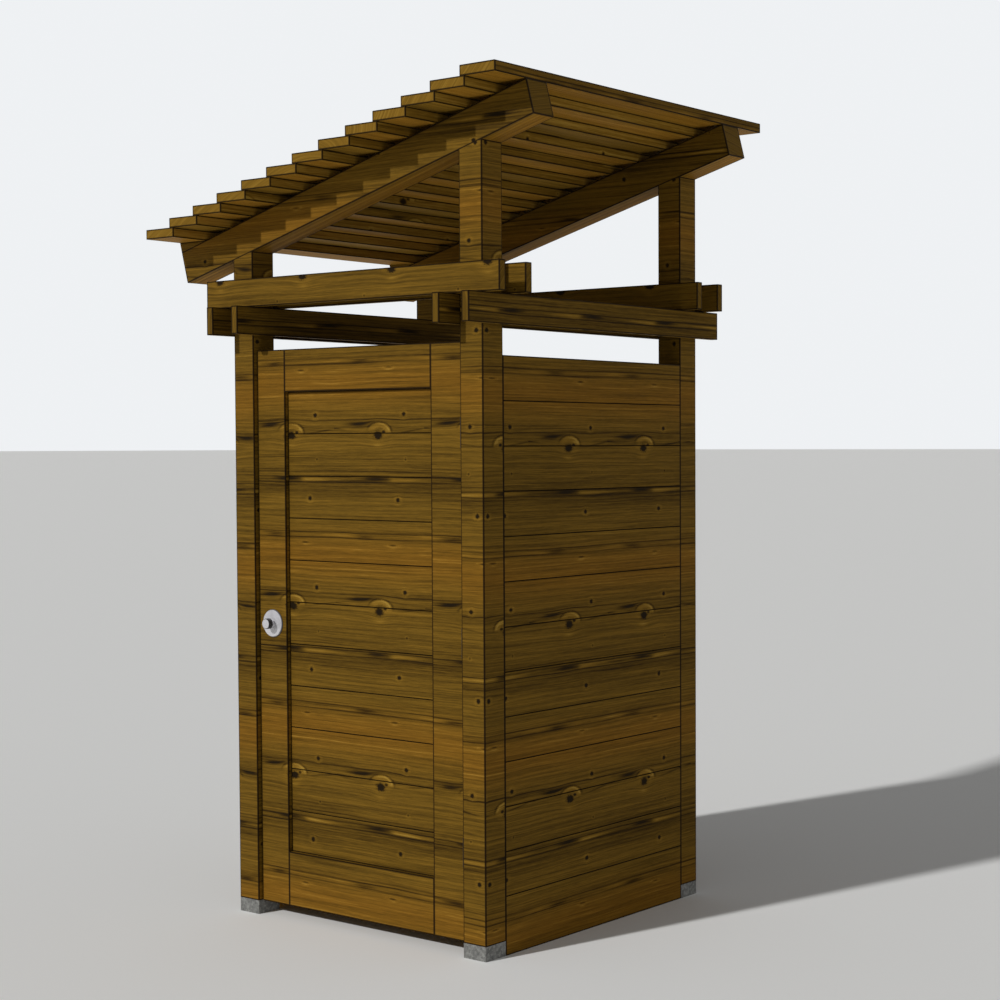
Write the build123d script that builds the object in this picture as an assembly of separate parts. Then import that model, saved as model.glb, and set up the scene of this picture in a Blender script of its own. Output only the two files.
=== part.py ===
"""Timber shower cabin: four corner posts on steel shoes, boarded on three sides, a framed door
in the front, paired beams that clamp the posts, and a lean-to roof of lapped level boards.

Millimetres. +X runs along the door front to the high side of the roof, +Y from the door to the
back, +Z up. The origin lies on the ground under the middle of the whole cabin's plan."""

from build123d import *
import os
from math import ceil, cos, radians, sin, tan

# Posts and their shoes
cabin_width = 1200
cabin_depth = 1200
post_size = 100
low_post_rise = 73.5
shoe_height = 50
shoe_wall = 5
arris = 1.5

# Boarded walls
wall_height = 2000
wall_thickness = 30
board_pitch = 150
joint_width = 4
joint_depth = 3
cleat_width = 40
cleat_ground_gap = 20

# Paired beams
wall_head_gap = 100
beam_height = 100
beam_thickness = 30
lower_beam_overhang = 100
upper_beam_low_overhang = 110
upper_beam_high_overhang = 100

# Roof
roof_slope = 15
rafter_height = 118
roof_board_thickness = 34.4
roof_board_lap = 20
roof_low_overhang = 298
roof_least_high_overhang = 150
roof_side_overhang = 150
starter_setback = 5

# Door
moving_gap = 5
door_head_gap = 55
door_thickness = 40
door_setback = 15
stile_width = 141
top_rail_height = 150
bottom_rail_height = 195
panel_thickness = 20
panel_setback = 15
panel_housing = 12
stop_thickness = 20
stop_width = 25

# Knobs, one on each side of the door
knob_height = 1065
rose_diameter = 100
rose_thickness = 6
rose_rim_radius = 3
knob_diameter = 38
knob_projection = 32
knob_neck_diameter = 24
knob_neck_length = 14
knob_edge_radius = 2.5

# Hinges
hinge_count = 3
hinge_end_distance = 250
hinge_height = 100
hinge_leaf_thickness = 2.2
hinge_leaf_width = 30
barrel_diameter = 8
pin_diameter = 5
pin_play = 0.05
knuckle_count = 5
knuckle_gap = 0.4
barrel_gap = 0.5

# Places worked out from the sizes
slope = radians(roof_slope)
roof_board_pitch = roof_board_thickness / tan(slope)
roof_board_width = roof_board_pitch + roof_board_lap
least_roof_run = roof_low_overhang + cabin_width + roof_least_high_overhang
roof_board_count = ceil((least_roof_run - roof_board_lap) / roof_board_pitch)
roof_run = roof_board_count * roof_board_pitch + roof_board_lap
overall_run = roof_run + rafter_height * sin(slope)
roof_low = -overall_run / 2
roof_high = roof_low + roof_run

left = roof_low + roof_low_overhang
right = left + cabin_width
front = -cabin_depth / 2
back = cabin_depth / 2
inner_left = left + post_size
inner_right = right - post_size
inner_front = front + post_size
inner_back = back - post_size

beam_underside = wall_height + wall_head_gap
upper_beam_underside = beam_underside + beam_height
low_post_height = upper_beam_underside + beam_height + low_post_rise

door_left = inner_left + moving_gap
door_right = inner_right - moving_gap
door_front = front + door_setback
door_back = door_front + door_thickness
door_bottom = shoe_height
door_top = beam_underside - door_head_gap
panel_left = door_left + stile_width
panel_right = door_right - stile_width
panel_bottom = door_bottom + bottom_rail_height
panel_top = door_top - top_rail_height
panel_front = door_front + panel_setback

barrel_radius = barrel_diameter / 2
hinge_x = inner_right - barrel_gap - barrel_radius
hinge_y = door_front - barrel_gap - barrel_radius

X_AXIS = (1, 0, 0)
Y_AXIS = (0, 1, 0)


def rafter_underside(x):
    """Height of the rafters' lower edge, which the posts are cut to."""
    return low_post_height + (x - left) * tan(slope)


def rafter_top(x):
    return rafter_underside(x) + rafter_height / cos(slope)


def roof_board_low(number):
    """Where a roof board's low edge lies, counted from the eaves."""
    return roof_low + number * roof_board_pitch


def roof_board_bottom(number):
    """A board's high edge rests on the rafters, and its low edge on the board before it."""
    return rafter_top(roof_board_low(number) + roof_board_width)


def block(x_range, y_range, z_range):
    """A squared timber between three pairs of faces."""
    corner = (x_range[0], y_range[0], z_range[0])
    size = (x_range[1] - x_range[0], y_range[1] - y_range[0], z_range[1] - z_range[0])
    return Pos(*corner) * Box(*size, align=(Align.MIN, Align.MIN, Align.MIN))


def ease(timber, axis, size=arris):
    """Take the sharp arrises off a timber's edges that run along one axis."""
    return chamfer(timber.edges().filter_by(axis), size)


def side_profile(points, y_range):
    """Extrude an outline, given as x and z, from one depth to another."""
    outline = make_face(Polyline([(x, y_range[0], z) for x, z in points], close=True))
    return extrude(outline, amount=y_range[1] - y_range[0], dir=Y_AXIS)


def joint_heights(bottom, top):
    """Joints between boards, counted down from the top. The lowest board takes what is left."""
    heights = []
    height = top - board_pitch
    while height >= bottom + board_pitch:
        heights.append(height)
        height -= board_pitch
    return heights


def boarding(length, thickness, bottom, top, joints):
    """Boards laid edge on edge along +Y, outer face at x = 0, with a V at each joint."""
    outer = []
    for joint in joints:
        outer.append((0, joint + joint_width / 2))
        outer.append((-joint_depth, joint))
        outer.append((0, joint - joint_width / 2))
    inner = [(-thickness - x, z) for x, z in reversed(outer)]
    corners = [(0, top)] + outer + [(0, bottom), (-thickness, bottom)] + inner + [(-thickness, top)]
    return side_profile(corners, (0, length))


def wall(length):
    """Boards between two posts, nailed from outside to a cleat at each post."""
    boards = boarding(length, wall_thickness, 0, wall_height, joint_heights(0, wall_height))
    cleat_depth = (-wall_thickness - cleat_width, -wall_thickness)
    cleat_reach = (cleat_ground_gap, wall_height - cleat_ground_gap)
    near = block(cleat_depth, (0, cleat_width), cleat_reach)
    far = block(cleat_depth, (length - cleat_width, length), cleat_reach)
    return boards + near + far


def corner_post(x_start, y_start):
    """A post from its shoe to the rafter, its top cut to the slope."""
    x_end = x_start + post_size
    outline = [
        (x_start, shoe_height),
        (x_end, shoe_height),
        (x_end, rafter_underside(x_end)),
        (x_start, rafter_underside(x_start)),
    ]
    return ease(side_profile(outline, (y_start, y_start + post_size)), Axis.Z)


def post_shoe(x_start, y_start):
    """A welded steel box, open below, with a top plate that the post stands on."""
    x_range = (x_start, x_start + post_size)
    y_range = (y_start, y_start + post_size)
    shoe = ease(block(x_range, y_range, (0, shoe_height)), Axis.Z)
    hollow = block(
        (x_range[0] + shoe_wall, x_range[1] - shoe_wall),
        (y_range[0] + shoe_wall, y_range[1] - shoe_wall),
        (0, shoe_height - shoe_wall),
    )
    return shoe - hollow


def rafter(y_start):
    """A timber along the slope, square at both ends, flush with the posts on both sides."""
    run, rise = cos(slope), sin(slope)
    high_top = (roof_high, rafter_top(roof_high))
    high_bottom = (high_top[0] + rafter_height * rise, high_top[1] - rafter_height * run)
    low_top = starter_outline()[2]
    low_bottom = (low_top[0] + rafter_height * rise, low_top[1] - rafter_height * run)
    outline = [low_bottom, high_bottom, high_top, low_top]
    return side_profile(outline, (y_start, y_start + post_size))


def starter_outline():
    """The wedge that fills the first board's tail: high edge, eaves corner, rafter corner."""
    level = roof_board_bottom(0)
    feather = roof_low + roof_board_width
    tail = roof_low + starter_setback
    # The tail is cut square to the slope, in line with the rafter's end
    fall = level - rafter_top(tail)
    along = fall * sin(slope)
    corner = tail + along * cos(slope)
    return [(feather, level), (tail, level), (corner, rafter_top(corner))]


def starter_wedge(y_start):
    return side_profile(starter_outline(), (y_start, y_start + post_size))


def roof_board(number):
    """One level board, laid like a stair tread across both rafters."""
    low = roof_board_low(number)
    bottom = roof_board_bottom(number)
    board = block(
        (low, low + roof_board_width),
        (front - roof_side_overhang, back + roof_side_overhang),
        (bottom, bottom + roof_board_thickness),
    )
    top_edges = board.faces().sort_by(Axis.Z)[-1].edges().filter_by(Axis.Y)
    return chamfer(top_edges, arris)


def lower_beam(x_start):
    """Runs from front to back, tight against two posts."""
    x_range = (x_start, x_start + beam_thickness)
    y_range = (front - lower_beam_overhang, back + lower_beam_overhang)
    return ease(block(x_range, y_range, (beam_underside, upper_beam_underside)), Axis.Y)


def upper_beam(y_start):
    """Lies on the lower beams, tight against two posts."""
    x_range = (left - upper_beam_low_overhang, right + upper_beam_high_overhang)
    y_range = (y_start, y_start + beam_thickness)
    z_range = (upper_beam_underside, upper_beam_underside + beam_height)
    return ease(block(x_range, y_range, z_range), Axis.X)


def left_stile():
    """A door upright, with a groove down its inner edge for the rails and the panel."""
    stile = block((door_left, panel_left), (door_front, door_back), (door_bottom, door_top))
    groove = block(
        (panel_left - panel_housing, panel_left),
        (panel_front, panel_front + panel_thickness),
        (door_bottom, door_top),
    )
    outer_edges = stile.edges().filter_by(Axis.Z).group_by(Axis.X)[0]
    return chamfer(outer_edges, arris) - groove


def right_stile():
    """The left stile turned over about the door's middle line."""
    middle = (door_left + door_right) / 2
    return mirror(left_stile(), about=Plane(origin=(middle, 0, 0), z_dir=X_AXIS))


def rail(bottom, top, groove_bottom):
    """A cross piece with a stub tenon at each end and a groove for the panel."""
    body = block((panel_left, panel_right), (door_front, door_back), (bottom, top))
    groove_depth = (panel_front, panel_front + panel_thickness)
    tenons = block(
        (panel_left - panel_housing, panel_right + panel_housing),
        groove_depth,
        (bottom, top),
    )
    groove = block(
        (panel_left - panel_housing, panel_right + panel_housing),
        groove_depth,
        (groove_bottom, groove_bottom + panel_housing),
    )
    return body + tenons - groove


def door_panel():
    """Level boards held on all four sides in the grooves of the frame."""
    width = panel_right - panel_left + 2 * panel_housing
    lower_edge = panel_bottom - panel_housing
    upper_edge = panel_top + panel_housing
    joints = joint_heights(panel_bottom, panel_top)
    boards = boarding(width, panel_thickness, lower_edge, upper_edge, joints)
    corner = Pos(panel_left - panel_housing, panel_front, 0)
    return corner * Rot(Z=-90) * boards


def door_stop():
    """A lath on the latch post that the closed door meets."""
    x_range = (inner_left, inner_left + stop_width)
    y_range = (door_back + moving_gap, door_back + moving_gap + stop_thickness)
    return ease(block(x_range, y_range, (door_bottom, door_top)), Axis.Z)


def turned(outline, x, face, outward):
    """A turned piece on the door: its outline gives radius and distance from the face."""
    profile = make_face(Polyline([(0, 0)] + outline + [(0, outline[-1][1])], close=True))
    piece = revolve(profile, Axis.Y)
    turn = Rot() if outward > 0 else Rot(X=180)
    return Pos(x, face, knob_height) * turn * piece


def knob_x():
    return (door_left + panel_left) / 2


def door_roses():
    """The round plates under the knobs, outside and inside."""
    radius = rose_diameter / 2
    outline = [
        (radius, 0),
        (radius, rose_thickness - rose_rim_radius),
        (radius - rose_rim_radius, rose_thickness),
    ]
    outside = turned(outline, knob_x(), door_front, -1)
    inside = turned(outline, knob_x(), door_back, 1)
    return Compound([outside, inside])


def door_knobs():
    """Short round knobs on a narrower neck, outside and inside."""
    radius = knob_diameter / 2
    neck = knob_neck_diameter / 2
    outline = [
        (neck, 0),
        (neck, knob_neck_length),
        (radius, knob_neck_length),
        (radius, knob_projection - knob_edge_radius),
        (radius - knob_edge_radius, knob_projection),
    ]
    outside = turned(outline, knob_x(), door_front - rose_thickness, -1)
    inside = turned(outline, knob_x(), door_back + rose_thickness, 1)
    return Compound([outside, inside])


def hinge_bottoms():
    """Heights of the hinges' lower ends, spread evenly between the end distances."""
    lowest = door_bottom + hinge_end_distance
    highest = door_top - hinge_end_distance - hinge_height
    step = (highest - lowest) / (hinge_count - 1)
    return [lowest + number * step for number in range(hinge_count)]


def knuckle_span(bottom, number):
    """Lower and upper end of one knuckle, with half the play at each end."""
    pitch = hinge_height / knuckle_count
    start = bottom + number * pitch
    return start + knuckle_gap / 2, start + pitch - knuckle_gap / 2


def hinge_leaf(bottom, knuckles, leaf_x):
    """A flat leaf with its knuckles, rolled on the pin's line."""
    leaf_start = hinge_y + barrel_radius + barrel_gap
    leaf = block(
        leaf_x,
        (leaf_start, leaf_start + hinge_leaf_width),
        (bottom, bottom + hinge_height),
    )
    for number in knuckles:
        low, high = knuckle_span(bottom, number)
        knuckle = Cylinder(barrel_radius, high - low, align=(Align.CENTER, Align.CENTER, Align.MIN))
        leaf += Pos(hinge_x, hinge_y, low) * knuckle
        leaf += block(leaf_x, (hinge_y, leaf_start), (low, high))
    return leaf


def post_hinge_leaves():
    """The fixed leaves on the post. Their outer knuckles hold the pin tight."""
    leaves = []
    leaf_x = (inner_right - hinge_leaf_thickness, inner_right)
    for bottom in hinge_bottoms():
        leaf = hinge_leaf(bottom, range(0, knuckle_count, 2), leaf_x)
        pin = Cylinder(
            pin_diameter / 2,
            hinge_height - knuckle_gap,
            align=(Align.CENTER, Align.CENTER, Align.MIN),
        )
        leaves.append(leaf + Pos(hinge_x, hinge_y, bottom + knuckle_gap / 2) * pin)
    return Compound(leaves)


def door_hinge_leaves():
    """The leaves on the door's edge, bored to turn on the pin."""
    leaves = []
    leaf_x = (door_right, door_right + hinge_leaf_thickness)
    bore_radius = pin_diameter / 2 + pin_play
    for bottom in hinge_bottoms():
        leaf = hinge_leaf(bottom, range(1, knuckle_count, 2), leaf_x)
        bore = Cylinder(bore_radius, hinge_height, align=(Align.CENTER, Align.CENTER, Align.MIN))
        leaves.append(leaf - Pos(hinge_x, hinge_y, bottom) * bore)
    return Compound(leaves)


def write(node, shape):
    export_step(shape, os.path.join("parts", node + ".step"))


os.makedirs("parts", exist_ok=True)

post_starts = {
    "front_left": (left, front),
    "front_right": (inner_right, front),
    "back_left": (left, inner_back),
    "back_right": (inner_right, inner_back),
}
for corner_name, start in post_starts.items():
    write(corner_name + "_post", corner_post(*start))
    write(corner_name + "_shoe", post_shoe(*start))

write("right_wall", Pos(right, inner_front, 0) * wall(inner_back - inner_front))
write("left_wall", Pos(left, inner_back, 0) * Rot(Z=180) * wall(inner_back - inner_front))
write("back_wall", Pos(inner_right, back, 0) * Rot(Z=90) * wall(inner_right - inner_left))

write("lower_beam_left_outer", lower_beam(left - beam_thickness))
write("lower_beam_left_inner", lower_beam(inner_left))
write("lower_beam_right_inner", lower_beam(inner_right - beam_thickness))
write("lower_beam_right_outer", lower_beam(right))
write("upper_beam_front_outer", upper_beam(front - beam_thickness))
write("upper_beam_front_inner", upper_beam(inner_front))
write("upper_beam_back_inner", upper_beam(inner_back - beam_thickness))
write("upper_beam_back_outer", upper_beam(back))

write("front_rafter", rafter(front))
write("back_rafter", rafter(inner_back))
write("starter_wedges", Compound([starter_wedge(front), starter_wedge(inner_back)]))
for board_number in range(roof_board_count):
    write(f"roof_board_{board_number + 1:02d}", roof_board(board_number))

write("door_left_stile", left_stile())
write("door_right_stile", right_stile())
write("door_top_rail", rail(panel_top, door_top, panel_top))
write("door_bottom_rail", rail(door_bottom, panel_bottom, panel_bottom - panel_housing))
write("door_panel", door_panel())
write("door_stop", door_stop())
write("door_roses", door_roses())
write("door_knobs", door_knobs())
write("post_hinge_leaves", post_hinge_leaves())
write("door_hinge_leaves", door_hinge_leaves())
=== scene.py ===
import math

import bpy
from mathutils import Matrix, Vector


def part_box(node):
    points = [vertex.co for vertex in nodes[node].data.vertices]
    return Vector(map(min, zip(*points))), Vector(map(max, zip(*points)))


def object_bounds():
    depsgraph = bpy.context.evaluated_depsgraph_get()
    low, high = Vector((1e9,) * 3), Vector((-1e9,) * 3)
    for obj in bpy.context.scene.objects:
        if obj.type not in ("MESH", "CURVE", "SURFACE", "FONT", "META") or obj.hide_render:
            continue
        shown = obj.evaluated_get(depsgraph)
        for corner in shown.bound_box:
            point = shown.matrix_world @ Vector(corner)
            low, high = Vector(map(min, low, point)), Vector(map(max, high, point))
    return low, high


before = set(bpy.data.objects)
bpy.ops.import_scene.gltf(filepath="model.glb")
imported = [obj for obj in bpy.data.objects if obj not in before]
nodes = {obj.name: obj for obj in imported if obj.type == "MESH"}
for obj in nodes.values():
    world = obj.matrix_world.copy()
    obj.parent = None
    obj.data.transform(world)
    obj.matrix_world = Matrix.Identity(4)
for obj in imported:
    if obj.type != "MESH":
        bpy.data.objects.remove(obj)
cad_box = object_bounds()
ground = cad_box[0].z

# Camera. It stands front right of the cabin at eye height, as the photograph's does, and looks
# slightly down. The small shift frames the cabin left of the lens's own centre.
picture_size = 1000
focal_pixels = 1901.6
lens_centre = (650.0, 521.4)
eye = (4.7737, -5.25359, 1.70223)
turn, pitch, roll = math.radians(36.6216), math.radians(2.2989), math.radians(-0.1357)
camera = bpy.data.cameras.new("camera")
camera.sensor_width = 36
camera.lens = focal_pixels * camera.sensor_width / picture_size
camera.shift_x = 0.5 - lens_centre[0] / picture_size
camera.shift_y = lens_centre[1] / picture_size - 0.5
camera_stand = bpy.data.objects.new("camera", camera)
bpy.context.scene.collection.objects.link(camera_stand)
camera_stand.location = eye
turned_left = Matrix.Rotation(turn, 3, "Z")
tipped_down = Matrix.Rotation(math.radians(90) - pitch, 3, "X")
rolled = Matrix.Rotation(roll, 3, "Z")
camera_stand.rotation_euler = (turned_left @ tipped_down @ rolled).to_euler()
bpy.context.scene.camera = camera_stand

# Floor. A plain pale sheet under the cabin, wide enough to reach the horizon. It takes the cabin's
# shadow and casts none itself, so that the lamp below the yard shines up through it.
floor_reach = 600
bpy.ops.object.select_all(action="DESELECT")
bpy.ops.mesh.primitive_plane_add(size=2 * floor_reach, location=(0, 0, ground))
floor = bpy.context.object
floor.name = "floor"
floor.visible_shadow = False
paper = bpy.data.materials.new("pale_floor")
paper.use_nodes = True
paper_shader = paper.node_tree.nodes["Principled BSDF"]
paper_shader.inputs["Base Color"].default_value = (0.9, 0.9, 0.885, 1)
paper_shader.inputs["Roughness"].default_value = 0.9
paper_shader.inputs["Specular IOR Level"].default_value = 0.1
floor.data.materials.append(paper)

# Light. One soft key from the front left, low enough for the roof boards to throw their stepped
# shadow on the rafter. Two weaker lamps stand for the light off a bright yard, one straight up
# under the roof and one from the right, and an even pale surround fills the rest.
for lamp, strength, spread, travels in (
    ("key", 2.42, 2.5, (0.225, 0.823, -0.521)),
    ("yard_below", 1.6, 30, (0, 0.02, 1)),
    ("yard_right", 0.25, 60, (-0.9, 0.2, 0.25)),
):
    light = bpy.data.lights.new(lamp, "SUN")
    light.energy = strength
    light.angle = math.radians(spread)
    lamp_stand = bpy.data.objects.new(lamp, light)
    lamp_stand.rotation_euler = Vector(travels).to_track_quat("-Z", "Y").to_euler()
    bpy.context.scene.collection.objects.link(lamp_stand)
surround = bpy.data.worlds.new("surround")
surround.use_nodes = True
bpy.context.scene.world = surround
sky = surround.node_tree
fill = sky.nodes["Background"]
fill.inputs["Color"].default_value = (1, 1, 1, 1)
fill.inputs["Strength"].default_value = 0.2
seen = sky.nodes.new("ShaderNodeBackground")
seen.inputs["Color"].default_value = (0.86, 0.88, 0.9, 1)
seen.inputs["Strength"].default_value = 1
rays = sky.nodes.new("ShaderNodeLightPath")
seen_by = rays.outputs["Is Camera Ray"]
for ray in ("Is Glossy Ray", "Is Transmission Ray"):
    either = sky.nodes.new("ShaderNodeMath")
    either.operation = "MAXIMUM"
    sky.links.new(seen_by, either.inputs[0])
    sky.links.new(rays.outputs[ray], either.inputs[1])
    seen_by = either.outputs[0]
choice = sky.nodes.new("ShaderNodeMixShader")
sky.links.new(seen_by, choice.inputs[0])
sky.links.new(fill.outputs[0], choice.inputs[1])
sky.links.new(seen.outputs[0], choice.inputs[2])
sky.links.new(choice.outputs[0], sky.nodes["World Output"].inputs["Surface"])
bpy.context.scene.view_settings.view_transform = "Standard"


# Steel shoes. Four square caps folded and welded from 5 mm plate, galvanised, that keep the posts'
# end grain off the wet ground. Their zinc has gone dull and slightly blotched.
class Coat:
    """One socket of a finish. Sums on it add Math nodes, and node() adds any other kind."""

    def __init__(self, tree, socket=None):
        self.tree = tree
        self.socket = socket

    def node(self, kind, settings, sockets, output=0):
        made = self.tree.nodes.new(kind)
        for setting, choice in settings.items():
            if setting == "stops":
                while len(made.color_ramp.elements) < len(choice):
                    made.color_ramp.elements.new(1)
                for stop, (place, colour) in zip(made.color_ramp.elements, choice):
                    stop.position = place
                    stop.color = (*colour, 1)
            else:
                setattr(made, setting, choice)
        for name, value in sockets.items():
            if isinstance(value, Coat):
                self.tree.links.new(value.socket, made.inputs[name])
            else:
                made.inputs[name].default_value = value
        return None if output is None else Coat(self.tree, made.outputs[output])

    def other(self, output):
        """Another output of the same node."""
        return Coat(self.tree, self.socket.node.outputs[output])

    def math(self, operation, *values):
        return self.node("ShaderNodeMath", {"operation": operation}, dict(enumerate((self, *values))))

    def vectors(self, operation, *values):
        sockets = dict(enumerate((self, *values)))
        return self.node("ShaderNodeVectorMath", {"operation": operation}, sockets)

    def __add__(self, more):
        return self.math("ADD", more)

    def __sub__(self, less):
        return self.math("SUBTRACT", less)

    def __rsub__(self, whole):
        return self.node("ShaderNodeMath", {"operation": "SUBTRACT"}, {0: whole, 1: self})

    def __mul__(self, times):
        return self.math("MULTIPLY", times)

    def __truediv__(self, parts):
        return self.math("DIVIDE", parts)

    __radd__ = __add__
    __rmul__ = __mul__

    def mixed(self, other, share):
        """This value where share is 0 and the other where it is 1."""
        return self + (other - self) * share

    def between(self, low, high):
        """0 below low, 1 above high and smooth from one to the other."""
        return self.node(
            "ShaderNodeMapRange",
            {"interpolation_type": "SMOOTHSTEP"},
            {"Value": self, "From Min": low, "From Max": high},
        )

    def hump(self, middle, reach):
        """1 at middle, falling off smoothly on both sides within about reach."""
        off = (self - middle) / reach
        return (off * off * -1).math("EXPONENT")

    def noise(self, scale, detail, roughness=0.5):
        """Cloudy values from 0 to 1 at this place."""
        sockets = {"Vector": self, "Scale": scale, "Detail": detail, "Roughness": roughness}
        return self.node("ShaderNodeTexNoise", {}, sockets)

    def ramp(self, *stops):
        """The colour at this value along stops of a place from 0 to 1 and a colour."""
        return self.node("ShaderNodeValToRGB", {"stops": stops}, {"Fac": self})

    def painted(self, colour, share, way="MIX"):
        """This colour under another one, which covers the given share of it."""
        settings = {"data_type": "RGBA", "blend_type": way}
        return self.node("ShaderNodeMix", settings, {"Factor": share, 6: self, 7: (*colour, 1)}, 2)


def new_finish(name):
    """An empty node material with its shader, and the Coat that its nodes are added through."""
    material = bpy.data.materials.new(name)
    material.use_nodes = True
    return material, material.node_tree.nodes["Principled BSDF"], Coat(material.node_tree)


def link(coat, shader, socket):
    coat.tree.links.new(coat.socket, shader.inputs[socket])


def wear(piece, material):
    """Puts a finish on every slot of a CAD node."""
    for held in nodes[piece].material_slots:
        held.material = material


zinc, zinc_shader, coat = new_finish("dull_zinc")
place = coat.node("ShaderNodeTexCoord", {}, {}, "Object")
blotch = place.noise(60, 5, 0.6)
spangle = coat.node("ShaderNodeTexVoronoi", {}, {"Vector": place, "Scale": 110}, "Color")
spangle = spangle.node("ShaderNodeSeparateColor", {}, {"Color": spangle}, "Red")
tone = (blotch * 0.7 + spangle * 0.3).between(0.2, 0.8)
zinc_colour = tone.ramp(
    (0, (0.09, 0.09, 0.084)),
    (0.5, (0.155, 0.155, 0.144)),
    (1, (0.245, 0.245, 0.229)),
)
link(zinc_colour, zinc_shader, "Base Color")
link(0.75 - tone * 0.2, zinc_shader, "Roughness")
zinc_shader.inputs["Metallic"].default_value = 0.2
dents = coat.node("ShaderNodeBump", {}, {"Strength": 0.2, "Distance": 0.0004, "Height": blotch})
link(dents, zinc_shader, "Normal")
for corner in ("front_left", "front_right", "back_left", "back_right"):
    wear(corner + "_shoe", zinc)

# Corner posts. Planed 100 mm softwood posts, stained dark brown, their tops cut to the roof's
# slope. The stain shows level streaks, with knots in rows and darker arrises where it pools.
millimetre = 1000


def in_millimetres(place):
    """A place on the piece as one vector and as its x, y and z, all in millimetres."""
    scaled = place.node("ShaderNodeMapping", {}, {"Vector": place, "Scale": (millimetre,) * 3})
    x = place.node("ShaderNodeSeparateXYZ", {}, {"Vector": scaled})
    return scaled, x, x.other("Y"), x.other("Z")


def stretched_noise(along, across, seed, detail, roughness=0.5):
    """Noise on a figure's own two measures, another for each seed."""
    place = along.node("ShaderNodeCombineXYZ", {}, {"X": along, "Y": across, "Z": seed})
    return place.noise(1, detail, roughness)


pine = bpy.data.node_groups.new("stained_pine", "ShaderNodeTree")
for socket, kind in (
    ("Knot", "Vector"),
    ("Low", "Vector"),
    ("High", "Vector"),
    ("Turned", "Float"),
    ("Lies along Y", "Float"),
    ("End grain on X", "Float"),
    ("End grain on Y", "Float"),
    ("End tone", "Float"),
    ("Painted fill", "Float"),
    ("Slope", "Float"),
    ("Seed", "Float"),
):
    pine.interface.new_socket(socket, in_out="INPUT", socket_type="NodeSocket" + kind)
for socket, kind in (("Color", "Color"), ("Roughness", "Float"), ("Normal", "Vector")):
    pine.interface.new_socket(socket, in_out="OUTPUT", socket_type="NodeSocket" + kind)
coat = Coat(pine)
given = coat.node("NodeGroupInput", {}, {})
here = coat.node("ShaderNodeTexCoord", {}, {}, "Object")
scaled, x, y, z = in_millimetres(here)
knot_x = coat.node("ShaderNodeSeparateXYZ", {}, {"Vector": given.other("Knot")})
knot_y, knot_z = knot_x.other("Y"), knot_x.other("Z")
facing = coat.node("ShaderNodeTexCoord", {}, {}, "Normal").vectors("ABSOLUTE")
facing_x = coat.node("ShaderNodeSeparateXYZ", {}, {"Vector": facing})
facing_y, facing_z = facing_x.other("Y"), facing_x.other("Z")
on_side = facing_x.math("GREATER_THAN", 0.6)
on_flat = facing_z.math("GREATER_THAN", 0.8)
seed = given.other("Seed")

# Where a point lies in the figure: u along the streaks and v across them, both in millimetres.
# across and up are the same counted from the nearest large knot, and past_knot from the last one.
figure_width = 430
figure_height = 608
turned = given.other("Turned")
lies_along_y = given.other("Lies along Y")
u_front, u_side = (x - knot_x) * turned, (y - knot_y) * turned
u_flat = u_front.mixed(u_side, lies_along_y)
v_flat = (y - knot_y).mixed(x - knot_x, lies_along_y)
u = u_front.mixed(u_side, on_side).mixed(u_flat, on_flat)
v = (z - knot_z).mixed(v_flat, on_flat)
across = u.math("WRAP", figure_width / 2, -figure_width / 2)
past_knot = u.math("WRAP", figure_width, 0)
up = v.math("WRAP", figure_height / 2, -figure_height / 2)

# Streaks wander a little and swerve round the knots. Each knot is (right, above, half width, half
# height, how far it pushes the streaks, depth of colour, depth of its ring), from the large knot.
knots = (
    (-1, 0, 19, 13, 2.8, 1.0, 0.25),
    (26, 11, 8, 5, 1.2, 0.7, 0.55),
    (121, 71, 8, 7, 2.3, 0.85, 0.55),
    (128, -84, 4, 4, 2.0, 0.3, 0.55),
    (91, -222, 8, 7.5, 2.3, 0.85, 0.55),
    (66, 230, 16, 3, 2.0, 0.4, 0.55),
)
swerve = (stretched_noise(u * 0.0028, v * 0.01, seed, 1) - 0.5) * 11
ragged = stretched_noise(u * 0.14, v * 0.2, seed, 3)
core = halo = ragged * 0
for right, above, wide, tall, swell, depth, ring_depth in knots:
    off_u, off_v = (across - right) / wide, (up - above) / tall
    near = off_u * off_u + off_v * off_v
    swerve = swerve + (up - above) * (near / (-swell * swell)).math("EXPONENT") * 0.55
    spot = (near * (ragged * 2.8 - 2.4)).math("EXPONENT").between(0.08, 0.8) * depth
    core = core.math("MAXIMUM", spot)
    halo = halo.math("MAXIMUM", near.math("SQRT").hump(1.7, 0.9) * ring_depth)
halo = halo * ragged.between(0.3, 0.7)
v_bent, up_bent = v - swerve, up - swerve
long_grain = stretched_noise(u * 0.0016, v_bent * 0.1, seed, 4, 0.62)
lines = stretched_noise(u * 0.004, v_bent * 0.28, seed + 3.5, 2)
fine = stretched_noise(u * 0.03, v_bent * 0.8, seed + 0.5, 2)

# The pale wood round the upper side of each large knot, and the dark line outside it.
rim_u, rim_v = (across - 4) / 52, (up - 9) / 31
reach = (rim_u * rim_u + rim_v * rim_v).math("SQRT") + (ragged - 0.5) * 0.22
upper = (up + across * 0.12).between(6, 27)
rim = reach.between(0.4, 0.7) * (1 - reach.between(0.94, 1.12)) * upper
rim = rim * (0.35 + lines * 0.55) + reach.hump(0.93, 0.12) * upper * across.between(-30, 40) * 0.75
rim_edge = reach.hump(1.17, 0.09) * upper

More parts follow.
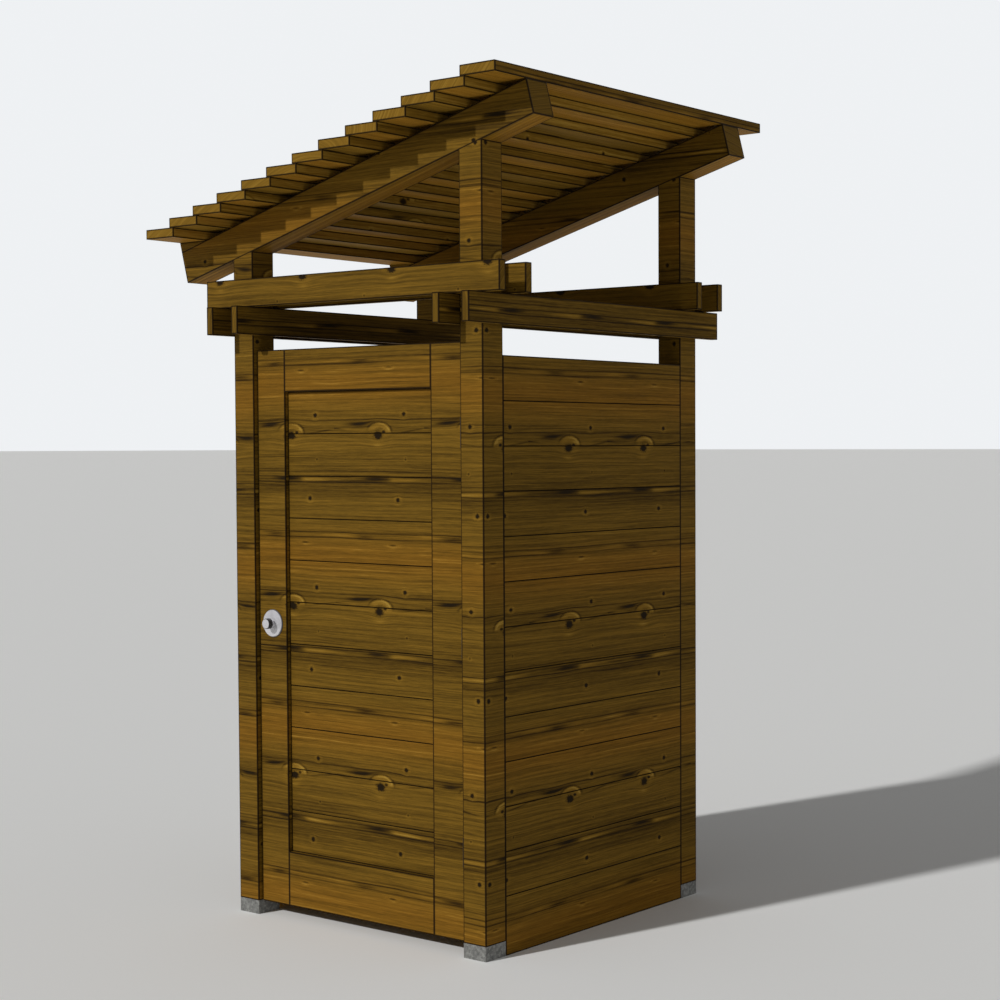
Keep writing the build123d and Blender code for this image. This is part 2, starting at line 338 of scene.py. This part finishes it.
# Dark streaks, at their height from the large knot. A level one is (height, half width, depth), and
# a short one (height, slope, half width, middle, half length, depth).
level_streaks = (
    (53, 2.6, 0.26),
    (-144, 2.2, 0.3),
    (-163, 2.4, 0.26),
    (-126, 1.8, 0.12),
    (-118, 1.6, 0.1),
    (-176, 26, 0.08),
    (268, 2.4, 0.28),
    (249, 3, 0.26),
)
short_streaks = (
    (38, 0, 8, -96, 50, 0.28 + lines * 0.34),
    (46, 0.08, 4, -60, 60, 0.22),
    (1, -0.1, 3, -200, 50, 0.2),
    (-150, 0, 6, -14, 50, 0.44),
    (256, 0, 7, -70, 46, 0.3),
)
streaks = rim_edge * 0.22
streaks += (up_bent - past_knot * 0.12).hump(-5, 3) * past_knot.hump(165, 80) * 0.28
for height, half_width, depth in level_streaks:
    streaks += up_bent.hump(height, half_width) * depth
for height, slope, half_width, middle, half_length, depth in short_streaks:
    streak = (up_bent - across * slope).hump(height, half_width)
    streaks += streak * across.hump(middle, half_length) * depth

# A pale lens that tapers to the right below each large knot, and a few thin pale streaks.
lens = (up_bent + 153.5) / (8.5 - past_knot * 0.024)
lens = (lens * lens * -1).math("EXPONENT") * past_knot.between(34, 74)
lens = lens * (1 - past_knot.between(110, 290))
pale = (
    lens * 0.42
    + up_bent.hump(259, 5) * past_knot.hump(250, 70) * 0.2
    + up_bent.hump(-26, 8) * across.hump(-4, 26) * 0.2
    + up_bent.hump(222, 4) * across.hump(66, 18) * 0.2
    + up_bent.hump(140, 2.4) * 0.14
    + rim * 0.36
)

# Broad lighter and darker zones, from the foot of the figure to its head.
shades = (
    (0.0, 0.58),
    (0.12, 0.54),
    (0.2, 0.42),
    (0.28, 0.44),
    (0.42, 0.55),
    (0.5, 0.58),
    (0.58, 0.48),
    (0.68, 0.66),
    (0.86, 0.76),
    (0.93, 0.54),
    (1.0, 0.58),
)
zones = (up / figure_height + 0.5).ramp(*((place, (shade,) * 3) for place, shade in shades))
tone = zones * 0.62 + (long_grain.between(0.26, 0.74) - 0.5) * 0.3 + (fine - 0.5) * 0.46 + 0.2
tone = tone - (lines - 0.46) * 0.52 + halo * 0.3 + pale - streaks
# Painted light: the roof boards are lifted a little, their side faces most, where they lie in shade.
tone = tone + given.other("Painted fill") * (1 + on_side * 2.5)

# Growth rings on the cut ends, round a pith below the piece.
pith_drop = 160
end_on_x, end_on_y = given.other("End grain on X"), given.other("End grain on Y")
on_end = (facing_x * end_on_x + facing_y * end_on_y).math("GREATER_THAN", 0.6)
ring_across = (y * end_on_x + x * end_on_y) * 0.5
ring_up = z - knot_z + pith_drop
ring_radius = (ring_across * ring_across + ring_up * ring_up).math("SQRT")
rings = stretched_noise(ring_radius * 0.3, u * 0.004, seed, 2)
cut_tone = (rings - 0.5) * 0.7 + given.other("End tone")
tone = tone.mixed(cut_tone, on_end) - core * (1 - on_end) * 0.75

# The stain pools within a few millimetres of every arris and in the joints between boards.
level_place = coat.node(
    "ShaderNodeVectorRotate",
    {"rotation_type": "Y_AXIS"},
    {"Vector": scaled, "Angle": given.other("Slope")},
)
low, high = given.other("Low"), given.other("High")
middle = low.vectors("ADD", high).vectors("MULTIPLY", (0.5,) * 3)
half = high.vectors("SUBTRACT", low).vectors("MULTIPLY", (0.5,) * 3)
inside = half.vectors("SUBTRACT", level_place.vectors("SUBTRACT", middle).vectors("ABSOLUTE"))
in_x = coat.node("ShaderNodeSeparateXYZ", {}, {"Vector": inside})
in_y, in_z = in_x.other("Y"), in_x.other("Z")
arris = in_x.math("MINIMUM", in_y).math("MAXIMUM", in_x.math("MAXIMUM", in_y).math("MINIMUM", in_z))
flattest = facing_x.math("MAXIMUM", facing_y).math("MAXIMUM", facing_z)
pooled = (1 - arris.between(2.2, 6)).math("MAXIMUM", 1 - flattest.between(0.9, 0.95))

stain = tone.ramp(
    (0.0, (0.013, 0.008, 0.003)),
    (0.2, (0.038, 0.02, 0.0029)),
    (0.4, (0.089, 0.0482, 0.0057)),
    (0.55, (0.133, 0.0724, 0.0083)),
    (0.75, (0.194, 0.1035, 0.0118)),
    (1.0, (0.314, 0.19, 0.031)),
)
warmth = up.hump(180, 80) * (1 - on_end)
stain = stain.painted((1.03, 0.91, 0.8), warmth, "MULTIPLY")
stain = stain.painted((0.009, 0.005, 0.002), pooled * 0.95)
height = fine + long_grain - streaks * 0.5 - core
grain = coat.node("ShaderNodeBump", {}, {"Strength": 0.4, "Distance": 0.0006, "Height": height})
coat.node(
    "NodeGroupOutput",
    {},
    {"Color": stain, "Roughness": 0.64 - tone.between(0, 1) * 0.14, "Normal": grain},
    None,
)


def stained_pine(piece, knot, low, high, turned=1, length="x", ends="", end_tone=0.5, paler=0, slope=0):
    """The stained finish of one piece of timber, in millimetres.

    knot is the place of one large knot. turned is -1 where the figure runs the other way. length
    is the axis of the piece, ends the axis of its end-grain faces and end_tone how pale they are.
    The painted fill is painted light that lifts the rest, its side faces most. low and high are
    the corners of what shows of the piece, and slope turns them to a sloping one. The name
    gives each piece a grain of its own.
    """
    material, shader, coat = new_finish("stain_" + piece)
    figure = coat.node(
        "ShaderNodeGroup",
        {"node_tree": pine},
        {
            "Knot": knot,
            "Low": low,
            "High": high,
            "Turned": turned,
            "Lies along Y": length == "y",
            "End grain on X": ends == "x",
            "End grain on Y": ends == "y",
            "End tone": end_tone,
            "Painted fill": paler,
            "Slope": slope,
            "Seed": sum(ord(letter) * place for place, letter in enumerate(piece, 1)) % 97,
        },
    )
    link(figure.other("Color"), shader, "Base Color")
    link(figure.other("Roughness"), shader, "Roughness")
    link(figure.other("Normal"), shader, "Normal")
    shader.inputs["Specular IOR Level"].default_value = 0.03
    return material


def corners_of(piece):
    """The lowest and highest corner of a node, in millimetres."""
    low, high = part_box(piece)
    return [at * millimetre for at in low], [at * millimetre for at in high]


def finish(piece, knot, **more):
    """Stains a node that stands square, by its own corners if no others are given."""
    low, high = corners_of(piece)
    settings = {"low": low, "high": high, **more}
    wear(piece, stained_pine(piece, knot, **settings))


# height of the row of large knots on posts and walls
knot_row = 1692
finish("front_right_post", (702, -489, knot_row), turned=-1)
finish("front_left_post", (-595, -489, knot_row), turned=-1)
finish("back_left_post", (-300, 420, knot_row))
finish("back_right_post", (702, 350, knot_row), turned=-1)

# Walls. Level 150 mm boards with V joints, nailed from inside to two upright cleats, so that no
# nail shows outside. The boards run down nearly to the ground between the posts.
finish("right_wall", (-100, -157.5, knot_row))
finish("left_wall", (60, -40, knot_row), turned=-1)
finish("back_wall", (95, 300, knot_row), turned=-1)

# Lower beams. Four planed 100 by 30 mm beams from front to back, bolted through the posts in pairs.
# Their figure is one row of knots, a step further forward on each beam.
lower_beams = ("right_outer", "right_inner", "left_inner", "left_outer")
for number, beam in enumerate(lower_beams):
    knot = (40, -75 - 97 * number, 2297)
    finish("lower_beam_" + beam, knot, turned=-1, length="y", ends="y")

# Upper beams. Four of the same section from left to right, lying on the lower ones and bolted to
# the posts in the same way.
upper_beams = ("front_outer", "front_inner", "back_inner", "back_outer")
for number, beam in enumerate(upper_beams):
    knot = (-172 + 131 * number, 50, 2296)
    finish("upper_beam_" + beam, knot, turned=-1, ends="x")

# Rafters. Two 118 by 100 mm rafters laid on the sloping post tops, their ends sawn square to the
# slope. Wedges of the same timber fill the lowest board's tail on each.
roof_slope = math.radians(15)
for piece, knot in (("front_rafter", (265, -97, 2307)), ("back_rafter", (40, 395, 2320))):
    level = Matrix.Rotation(roof_slope, 3, "Y")
    points = [level @ vertex.co * millimetre for vertex in nodes[piece].data.vertices]
    low = [min(point[axis] for point in points) for axis in range(3)]
    high = [max(point[axis] for point in points) for axis in range(3)]
    wear(piece, stained_pine(piece, knot, low, high, turned=-1, ends="x", slope=roof_slope))
finish("starter_wedges", (-600, 60, 2440))

# Roof boards. Thirteen level boards from front to back, each lapping the one below like a stair.
# Each has its knots elsewhere, and all but the topmost get a little painted light, their side
# faces most, where they lie in shade under the next board.
roof_boards = [f"roof_board_{number:02d}" for number in range(1, 14)]
knots_beside_middle = (165, -100, 178)
for number, piece in enumerate(roof_boards):
    low, high = corners_of(piece)
    knot_beside = (low[0] + high[0]) / 2 - knots_beside_middle[number % 3]
    knot = (knot_beside, -160 + 231 * number, 2300 + 77 * number)
    # Painted light for all but the topmost board, whose side faces lie in shade under the next one.
    paler = 0.08 if piece != roof_boards[-1] else 0
    finish(piece, knot, length="y", ends="y", end_tone=0.72, paler=paler)

# Door stop. A planed lath, screwed to the latch post inside the door, that the closed door meets.
# It is stained as the post is.
finish("door_stop", (-300, -450, knot_row))

# Door frame. Two grooved stiles with two rails tenoned between them, stained as one with the rest.
# Only the rails' faces between the stiles show, so their tenons are left out of the darker arrises.
door_knot = (132.2, -300, 1739)
rail_left = corners_of("door_left_stile")[1][0]
rail_right = corners_of("door_right_stile")[0][0]
for piece in ("door_left_stile", "door_right_stile"):
    finish(piece, door_knot)
for piece in ("door_top_rail", "door_bottom_rail"):
    low, high = corners_of(piece)
    finish(piece, door_knot, low=(rail_left, *low[1:]), high=(rail_right, *high[1:]))

# Door panel. Level V-jointed boards held loose in the frame's grooves. Its darker arrises follow
# the frame's inner edges, since its own lie hidden in the grooves.
low, high = corners_of("door_panel")
panel_low = (rail_left, low[1], corners_of("door_bottom_rail")[1][2])
panel_high = (rail_right, high[1], corners_of("door_top_rail")[0][2])
finish("door_panel", door_knot, low=panel_low, high=panel_high)

# Hinges. Three steel butt hinges with five knuckles and a pin each, painted dark bronze. Three
# bright countersunk screws hold each leaf, flush with it, and their heads show a slot.
hinge_start = 300
hinge_step = 697.5
screw_line = -568
screw_start = 18
screw_step = 32
screw_radius = 3.9
bronze, bronze_shader, coat = new_finish("bronze_paint")
place = coat.node("ShaderNodeTexCoord", {}, {}, "Object")
speckle = place.noise(300, 3, 0.6)
scaled, x, y, z = in_millimetres(place)
up_hinge = (z - hinge_start).math("WRAP", hinge_step, 0)
from_screw = (up_hinge - screw_start).math("WRAP", screw_step / 2, -screw_step / 2)
beside = y - screw_line
from_middle = (beside * beside + from_screw * from_screw).math("SQRT")
head = 1 - from_middle.between(screw_radius - 0.3, screw_radius)
slot = (1 - (beside + from_screw).math("ABSOLUTE").between(0.5, 0.9)) * head
sunk = from_middle.hump(screw_radius + 0.2, 0.4).math("MAXIMUM", slot)
bronze_colour = speckle.ramp((0.3, (0.02, 0.014, 0.01)), (0.7, (0.045, 0.032, 0.022)))
bronze_colour = bronze_colour.painted((0.42, 0.41, 0.39), head)
bronze_colour = bronze_colour.painted((0.006, 0.005, 0.004), sunk)
link(bronze_colour, bronze_shader, "Base Color")
link(0.35 + speckle * 0.2, bronze_shader, "Roughness")
link(0.6 + head * 0.3, bronze_shader, "Metallic")
dished = coat.node("ShaderNodeBump", {}, {"Strength": 0.6, "Distance": 0.0006, "Height": 1 - sunk})
link(dished, bronze_shader, "Normal")
for piece in ("post_hinge_leaves", "door_hinge_leaves"):
    wear(piece, bronze)

# Knobs. A turned knob on a round plate on each face of the door, lacquered pale grey metal. The
# knob's front edge and the plate's rim are darker.
knob_x, knob_y, knob_z = -386.3, -565, 1065
knob_radius = 17.6
plate_radius = 48.6
plate_reach = 30
pale_metal, pale_shader, coat = new_finish("pale_lacquer")
place = coat.node("ShaderNodeTexCoord", {}, {}, "Object")
cloud = place.noise(25, 4, 0.55)
scaled, x, y, z = in_millimetres(place)
right, above = x - knob_x, z - knob_z
from_axis = (right * right + above * above).math("SQRT")
on_knob = (y - knob_y).math("ABSOLUTE").math("GREATER_THAN", plate_reach)
knob_edge = from_axis.between(knob_radius - 1.2, knob_radius) * on_knob
plate_rim = from_axis.between(plate_radius - 1.2, plate_radius) * 0.8
lacquer = cloud.ramp((0.25, (0.46, 0.45, 0.47)), (0.75, (0.62, 0.61, 0.63)))
lacquer = lacquer.painted((0.02, 0.018, 0.02), knob_edge.math("MAXIMUM", plate_rim))
link(lacquer, pale_shader, "Base Color")
link(0.28 + cloud * 0.16, pale_shader, "Roughness")
pale_shader.inputs["Metallic"].default_value = 0.35
for piece in ("door_roses", "door_knobs"):
    wear(piece, pale_metal)
